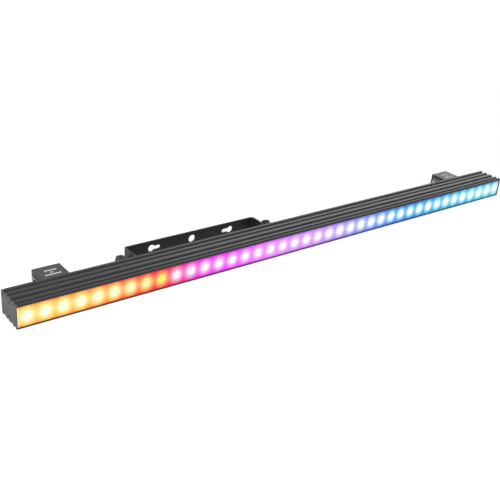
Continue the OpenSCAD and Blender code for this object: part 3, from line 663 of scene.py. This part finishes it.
def painted_glow_lens():
    """Frosted lens with the lit pixels' light painted on its front face as a glow."""
    finish = bpy.data.materials.new("painted_glow_lens")
    finish.use_nodes = True
    tree = finish.node_tree
    shader = tree.nodes["Principled BSDF"]
    shader.inputs["Base Color"].default_value = unlit_colour
    shader.inputs["Roughness"].default_value = lens_rough
    shader.inputs["Specular IOR Level"].default_value = lens_gleam
    place = add_node(tree, "ShaderNodeTexCoord")
    point = add_node(tree, "ShaderNodeSeparateXYZ", {0: place.outputs["Object"]})
    along = share(tree, point.outputs["X"], cad_low.x, cad_high.x)
    row = maths(tree, "DIVIDE", point.outputs["X"], pixel_pitch)
    pixel_x = maths(tree, "MULTIPLY", maths(tree, "ADD", maths(tree, "FLOOR", row), 0.5), pixel_pitch)
    pixel_along = share(tree, pixel_x, cad_low.x, cad_high.x)
    across = maths(tree, "ABSOLUTE", maths(tree, "SUBTRACT", point.outputs["X"], pixel_x))
    above = maths(tree, "SUBTRACT", point.outputs["Z"], spot_height)
    reach = distance(tree, across, above)
    next_reach = distance(tree, maths(tree, "SUBTRACT", pixel_pitch, across), above)
    half_h = (lens_high.z - lens_low.z) / 2
    # Painted shade: towards the lens's long edges the wash is mixed with its own square, so it darkens
    # there.
    edge = smooth_range(
        tree, maths(tree, "ABSOLUTE", above), half_h - edge_shade, half_h, 0.0, edge_shade_depth)
    wash = colour_run(tree, along, wash_colours)
    edge_shaded_wash = add_node(
        tree, "ShaderNodeVectorMath", {0: wash, 1: wash}, operation="MULTIPLY").outputs[0]
    wash = mixed(tree, edge, wash, edge_shaded_wash)
    halo_end = maths(
        tree, "ADD", halo_r, maths(
            tree, "MULTIPLY", halo_growth, maths(
                tree, "ADD", share(tree, along, magenta_at, 0.0), share(tree, along, blue_at, 1.0))))
    beyond = maths(
        tree, "MULTIPLY", smooth_range(tree, reach, halo_inner_r, halo_end, 0.0, 1.0),
        smooth_range(tree, next_reach, halo_inner_r, halo_end, 0.0, 1.0))
    halo = maths(tree, "SUBTRACT", 1.0, beyond)
    core = smooth_range(tree, reach, *core_r, 1.0, 0.0)
    core_colour = colour_run(tree, pixel_along, core_colours)
    lit = mixed(tree, halo, wash, colour_run(tree, pixel_along, halo_colours))
    lit = mixed(tree, core, lit, core_colour)
    # Painted highlight: a pale line at the lens's left end, painted in the pixels' core colour.
    painted_glint = smooth_range(
        tree, point.outputs["X"], lens_low.x + end_glint / 2, lens_low.x + end_glint,
        end_glint_depth, 0.0)
    # Painted shade: the lens's right end is painted dark, as the cap's shade would leave it.
    shade = smooth_range(
        tree, point.outputs["X"], lens_high.x - end_shade, lens_high.x - end_shade / 2,
        0.0, end_shade_depth)
    behind = smooth_range(
        tree, point.outputs["Y"], lens_low.y, lens_low.y + lit_depth, 0.0, 1.0)
    # The painted end shade and the unlit back of the lens both turn the glow to black.
    unlit = maths(tree, "MAXIMUM", shade, behind)
    shown = mixed(tree, unlit, mixed(tree, painted_glint, lit, core_colour), (0.0, 0.0, 0.0, 1.0))
    frost = add_node(
        tree, "ShaderNodeTexNoise",
        {"Vector": place.outputs["Object"], "Scale": 1.0 / frost_grain, "Detail": 2.0})
    height = add_node(
        tree, "ShaderNodeBump", {"Height": frost.outputs["Fac"], "Distance": frost_depth})
    # The painted glow of the pixels goes in as the lens's emission.
    tree.links.new(shown, shader.inputs["Emission Color"])
    tree.links.new(height.outputs[0], shader.inputs["Normal"])
    shader.inputs["Emission Strength"].default_value = 1.0
    return finish


dress(painted_glow_lens(), "front_lens")
dress(gasket_rubber, "lens_seals")

# A box of blasted aluminium near each end holds a socket, and a screwed cover closes its back.
# Two zinc-plated screws draw it onto a tapped bar in the body's rear slot.
box_edge = 0.0004
box_deep = (0.022, 0.022, 0.024)
box_pale = (0.038, 0.038, 0.040)
boxed = grained_finish(
    "box_black", box_deep, box_pale, blast_grain, rough=(0.4, 0.55), bump=blast_depth, gleam=0.40)
for side in ("left", "right"):
    softened(side + "_connector_box", box_edge, boxed)
    softened(side + "_box_cover", box_edge, boxed)
dress(zinc_plate, "box_nut_bars", "box_mount_screws")

# White ink on the top of each box: an arrow, the face of its socket and a row of pixels.
# The arrow points into the batten on the left box and out of it on the right one.
ink_height = 0.00005
dash_size = (0.0030, 0.0034, ink_height)
dash_pitch = 0.0041
dash_count = 6
row_gap = 0.0060
ring_r = 0.0022
ring_line = 0.0007
ring_steps = 32
pin_circle_r = 0.0010
pin_dot_r = 0.0004
pin_count = 4
pin_steps = 12
arrow_corners = 3
arrow_l = 0.0140
arrow_w = 0.0036
shaft_share = 0.6
bar_share = (0.5, 1.5)
marks_back = 0.0014


def marks_tree():
    """Geometry nodes for the ink on a box: dashes, a socket's face and an arrow with its bar."""
    tree = bpy.data.node_groups.new("box_marks", "GeometryNodeTree")
    sockets = tree.interface
    sockets.new_socket("Geometry", in_out="INPUT", socket_type="NodeSocketGeometry")
    for size in ("Dash Pitch", "Row Gap", "Ring Radius", "Ring Line", "Pin Circle", "Pin Radius",
                 "Arrow Length", "Arrow Width", "Arrow Turn", "Ink Height"):
        sockets.new_socket(size, in_out="INPUT", socket_type="NodeSocketFloat")
    sockets.new_socket("Dash Size", in_out="INPUT", socket_type="NodeSocketVector")
    sockets.new_socket("Place", in_out="INPUT", socket_type="NodeSocketVector")
    sockets.new_socket("Dashes", in_out="INPUT", socket_type="NodeSocketInt")
    sockets.new_socket("Ink", in_out="INPUT", socket_type="NodeSocketMaterial")
    sockets.new_socket("Geometry", in_out="OUTPUT", socket_type="NodeSocketGeometry")
    given = add_node(tree, "NodeGroupInput").outputs

    def vector(x, y, z):
        return add_node(tree, "ShaderNodeCombineXYZ", {0: x, 1: y, 2: z}).outputs[0]

    def sized(operation, *values):
        return maths(tree, operation, *values)

    def moved(shape, place, turn=(0, 0, 0)):
        return add_node(
            tree, "GeometryNodeTransform",
            {"Geometry": shape, "Translation": place, "Rotation": turn}).outputs[0]

    row_l = sized("MULTIPLY", sized("SUBTRACT", given["Dashes"], 1.0), given["Dash Pitch"])
    row = add_node(
        tree, "GeometryNodeMeshLine",
        {"Count": given["Dashes"],
         "Start Location": vector(
             sized("MULTIPLY", row_l, -0.5), sized("MULTIPLY", given["Row Gap"], -1.0), 0),
         "Offset": vector(given["Dash Pitch"], 0, 0)})
    dash = add_node(tree, "GeometryNodeMeshCube", {"Size": given["Dash Size"]})
    dashes = add_node(
        tree, "GeometryNodeInstanceOnPoints",
        {"Points": row.outputs[0], "Instance": dash.outputs[0]})
    circle = add_node(
        tree, "GeometryNodeCurvePrimitiveCircle",
        {"Resolution": ring_steps, "Radius": given["Ring Radius"]})
    line = add_node(
        tree, "GeometryNodeCurvePrimitiveQuadrilateral",
        {"Width": given["Ring Line"], "Height": given["Ink Height"]})
    ring = add_node(
        tree, "GeometryNodeCurveToMesh", {"Curve": circle.outputs[0], "Profile Curve": line.outputs[0]})
    pin_points = add_node(
        tree, "GeometryNodeMeshCircle", {"Vertices": pin_count, "Radius": given["Pin Circle"]})
    pin = add_node(
        tree, "GeometryNodeMeshCylinder",
        {"Vertices": pin_steps, "Radius": given["Pin Radius"], "Depth": given["Ink Height"]})
    pins = add_node(
        tree, "GeometryNodeInstanceOnPoints",
        {"Points": pin_points.outputs[0], "Instance": pin.outputs[0]})
    half_arrow = sized("MULTIPLY", given["Arrow Length"], 0.5)
    shaft = add_node(
        tree, "GeometryNodeMeshCube",
        {"Size": vector(given["Arrow Length"], sized("MULTIPLY", given["Arrow Width"], shaft_share),
                        given["Ink Height"])})
    tip = add_node(
        tree, "GeometryNodeMeshCylinder",
        {"Vertices": arrow_corners, "Radius": given["Arrow Width"], "Depth": given["Ink Height"]})
    bar = add_node(
        tree, "GeometryNodeMeshCube",
        {"Size": vector(sized("MULTIPLY", given["Arrow Width"], bar_share[0]),
                        sized("MULTIPLY", given["Arrow Width"], bar_share[1]), given["Ink Height"])})
    arrow = add_node(tree, "GeometryNodeJoinGeometry")
    for shape in (
            moved(bar.outputs[0], vector(sized("MULTIPLY", half_arrow, -1.0), 0, 0)),
            moved(tip.outputs[0], vector(half_arrow, 0, 0)), shaft.outputs[0]):
        tree.links.new(shape, arrow.inputs[0])
    turned_arrow = moved(
        arrow.outputs[0], vector(0, given["Row Gap"], 0), vector(0, 0, given["Arrow Turn"]))
    joined = add_node(tree, "GeometryNodeJoinGeometry")
    for shape in (turned_arrow, pins.outputs[0], ring.outputs[0], dashes.outputs[0]):
        tree.links.new(shape, joined.inputs[0])
    solid = add_node(tree, "GeometryNodeRealizeInstances", {0: joined.outputs[0]})
    placed = moved(solid.outputs[0], given["Place"])
    inked = add_node(tree, "GeometryNodeSetMaterial", {0: placed, "Material": given["Ink"]})
    add_node(tree, "NodeGroupOutput", {0: inked.outputs[0]})
    return tree


white_ink = grained_finish(
    "white_ink", (0.58, 0.58, 0.58), (0.72, 0.72, 0.72), (0.0004, 0.0004, 0.0004),
    rough=(0.5, 0.7), bump=0.000005)
marks_nodes = marks_tree()
for side, arrow_turn in (("left", 0.0), ("right", math.pi)):
    low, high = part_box(side + "_connector_box")
    marks = grown(side + "_box_marks", marks_nodes, bpy.data.meshes.new("marks_seed"), {
        "Dash Pitch": dash_pitch, "Row Gap": row_gap, "Ring Radius": ring_r, "Ring Line": ring_line,
        "Pin Circle": pin_circle_r, "Pin Radius": pin_dot_r, "Arrow Length": arrow_l,
        "Arrow Width": arrow_w, "Arrow Turn": arrow_turn, "Ink Height": ink_height,
        "Dash Size": dash_size, "Dashes": dash_count, "Ink": white_ink,
        "Place": ((low.x + high.x) / 2, (low.y + high.y) / 2 + marks_back, high.z + ink_height / 2)})
    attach(marks, "batten")

# The sockets have a black nickel shell with a flange on the left wall of their box.
# A black insert holds four gilt contacts, pins on the way in and cups on the way out,
# and zinc-plated screws hold the flange.
black_nickel = grained_finish(
    "black_nickel", (0.150, 0.148, 0.145), (0.200, 0.197, 0.193), (0.001, 0.001, 0.001),
    rough=(0.25, 0.36), bump=0.000005, metallic=1.0)
gilt = grained_finish(
    "gilt", (0.60, 0.40, 0.10), (0.75, 0.53, 0.18), (0.0006, 0.0006, 0.0006),
    rough=(0.15, 0.25), bump=0.000002, metallic=1.0)
dress(black_nickel, "input_socket_shell", "output_socket_shell")
dress(gilt, "input_socket_pins", "output_socket_contacts")
dress(moulded_black, "input_socket_insert", "output_socket_insert")
dress(zinc_plate, "socket_screws")

# The leads run from the sockets through the rear slot to the headers on the driver boards.
# Each is one round cable in a matt black jacket.
lead_jacket = grained_finish(
    "lead_jacket", (0.010, 0.010, 0.010), (0.020, 0.020, 0.020), (0.0015, 0.0015, 0.0015),
    rough=(0.5, 0.65), bump=0.00002)
dress(lead_jacket, "input_lead", "output_lead")

# The carriage is a bent steel strip on two nuts in the rear slot, with an ear inside each yoke leg.
# It is powder coated like the yoke: a fine orange peel, thin along the edges.
coat_deep = (0.008, 0.008, 0.008)
coat_pale = (0.014, 0.014, 0.014)
peel_grain = (0.0012, 0.0012, 0.0012)
peel_depth = 0.00004
strip_edge = 0.0004
powder_coat = grained_finish(
    "powder_coat", coat_deep, coat_pale, peel_grain, rough=(0.42, 0.55), bump=peel_depth,
    detail=2.0, gleam=0.38)
softened("carriage_bracket", strip_edge, powder_coat)
fibre_disc = grained_finish(
    "fibre_disc", (0.018, 0.017, 0.015), (0.05, 0.045, 0.04), (0.0008, 0.0008, 0.0008),
    rough=(0.8, 0.95), bump=0.00005)
dress(fibre_disc, "friction_washers")
dress(zinc_plate, "carriage_t_nuts")
dress(black_oxide, "pivot_nuts")

# Button-head screws clamp the carriage to its nuts in the slot.
# They are black steel, turned with a low crown and a hexagon socket.
carriage_head_r = 0.0060
carriage_head_h = 0.0034
carriage_shank_r = 0.00295
carriage_drive_r = 0.0024
carriage_drive_d = 0.0018
crown_rise = 0.0016
crown_angles = (60, 45, 30, 15, 0)


def button_screw(length):
    """A button-head screw with its crown at nought and its shank along -Z."""
    drive = hexagon(carriage_drive_r)
    crown = [
        (carriage_head_r * math.cos(turn), crown_rise * (math.sin(turn) - 1))
        for turn in map(math.radians, crown_angles)]
    return turned([
        (0, -carriage_drive_d - cap_screw_rim),
        (drive, -carriage_drive_d),
        (drive, -cap_screw_rim),
        (hexagon(carriage_drive_r + cap_screw_rim), 0),
        *crown,
        (carriage_head_r, -carriage_head_h),
        (carriage_shank_r, -carriage_head_h),
        (carriage_shank_r, -length),
        (0, -length),
    ], screw_steps)


fastened(
    "carriage_screws", button_screw(box_length("carriage_screws", 1)), backwards, black_oxide, seed=7)

# The yoke is a flat steel strip bent into a U, with a clamp hole and two keyholes in its back.
# It hangs on the knobs' studs and has the carriage's powder coat.
softened("yoke", strip_edge, powder_coat)

# The knobs are moulded round their studs: a fluted head with rounded rims on a short boss.
# The black studs reach through the yoke's legs into the carriage's nuts, with a washer under each boss.
knob_flutes = 8
knob_steps = 240
knob_rim = 0.0015
knob_rim_angles = (90, 67.5, 45, 22.5, 0)
knob_boss_r = 0.0055
knob_boss_l = 0.0092
knob_bore_r = 0.0030
knob_cover = 0.0040
knob_break = 0.0004
knob_dish_d = 0.0006
knob_dish_share = 0.62
flute_r = 0.0026
flute_rise = 0.0004
grip_grain = (0.0007, 0.0007, 0.0007)

knob_black = grained_finish(
    "knob_black", (0.020, 0.020, 0.021), (0.036, 0.036, 0.037), grip_grain,
    rough=(0.5, 0.65), bump=0.00004)


def fluted(radius, head_r):
    """A round section with the flutes cut into it, the first half a pitch from the X axis."""
    centre = head_r + flute_rise
    pitch = 2 * math.pi / knob_flutes

    def section(angle):
        off = angle % pitch - pitch / 2
        side = centre * math.sin(off)
        if abs(side) >= flute_r:
            return radius
        return min(radius, centre * math.cos(off) - math.sqrt(flute_r ** 2 - side ** 2))

    return section


def knob(side, outward):
    """A knob on its stud, turned with its boss at nought and its head along Z, then laid along X."""
    low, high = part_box(side + "_knob")
    length = high.x - low.x
    head_r = (high.z - low.z) / 2
    dish_r = head_r * knob_dish_share
    rim_turns = [math.radians(angle) for angle in knob_rim_angles]
    under_rim = [
        (fluted(head_r - knob_rim + knob_rim * math.cos(turn), head_r),
         knob_boss_l + knob_rim - knob_rim * math.sin(turn)) for turn in rim_turns]
    outer_rim = [
        (fluted(head_r - knob_rim + knob_rim * math.cos(turn), head_r),
         length - knob_rim + knob_rim * math.sin(turn)) for turn in reversed(rim_turns)]
    mesh = turned([
        (0, length - knob_cover),
        (knob_bore_r, length - knob_cover),
        (knob_bore_r, 0),
        (knob_boss_r - knob_break, 0),
        (knob_boss_r, knob_break),
        (knob_boss_r, knob_boss_l),
        *under_rim,
        *outer_rim,
        (dish_r, length),
        (dish_r - knob_break, length - knob_dish_d),
        (0, length - knob_dish_d),
    ], knob_steps)
    start = low.x if outward > 0 else high.x
    mesh.transform(
        Matrix.Translation((start, (low.y + high.y) / 2, (low.z + high.z) / 2))
        @ Matrix.Rotation(outward * math.pi / 2, 4, "Y"))
    mesh.materials.append(knob_black)
    piece = bpy.data.objects.new(side + "_knob_grip", mesh)
    bpy.context.scene.collection.objects.link(piece)
    stand_for(piece, side + "_knob")


knob("left", -1)
knob("right", 1)
dress(black_oxide, "left_knob_stud", "right_knob_stud", "left_knob_washer", "right_knob_washer")

# The scene is brought up to date.
bpy.context.view_layer.update()
